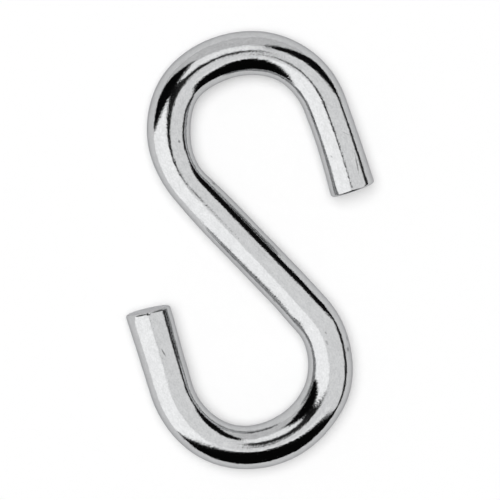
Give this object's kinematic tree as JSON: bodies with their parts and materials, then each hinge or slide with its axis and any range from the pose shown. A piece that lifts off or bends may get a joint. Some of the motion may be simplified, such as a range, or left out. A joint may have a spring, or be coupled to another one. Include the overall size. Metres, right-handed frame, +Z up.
{
  "type": "open S hook",
  "caption": "Open S hook bent from round bright-plated steel wire, with two round bends turned opposite ways and straight legs that splay out to square-cropped ends.",
  "frame": {"origin": "on the surface that the hook lies on, under the middle of its box", "axes": "+X across the hook, towards the side that the top hook opens to; +Y along the hook, towards the top bend; +Z up, square to the flat of the hook"},
  "size_m": [0.0282, 0.05, 0.005],
  "materials": {
    "plated_steel": "bright zinc plating over drawn steel wire, smooth and reflective, with fine draw marks and small handling marks"
  },
  "bodies": {
    "root": {"s_hook": "plated_steel"}
  },
  "joints": []
}
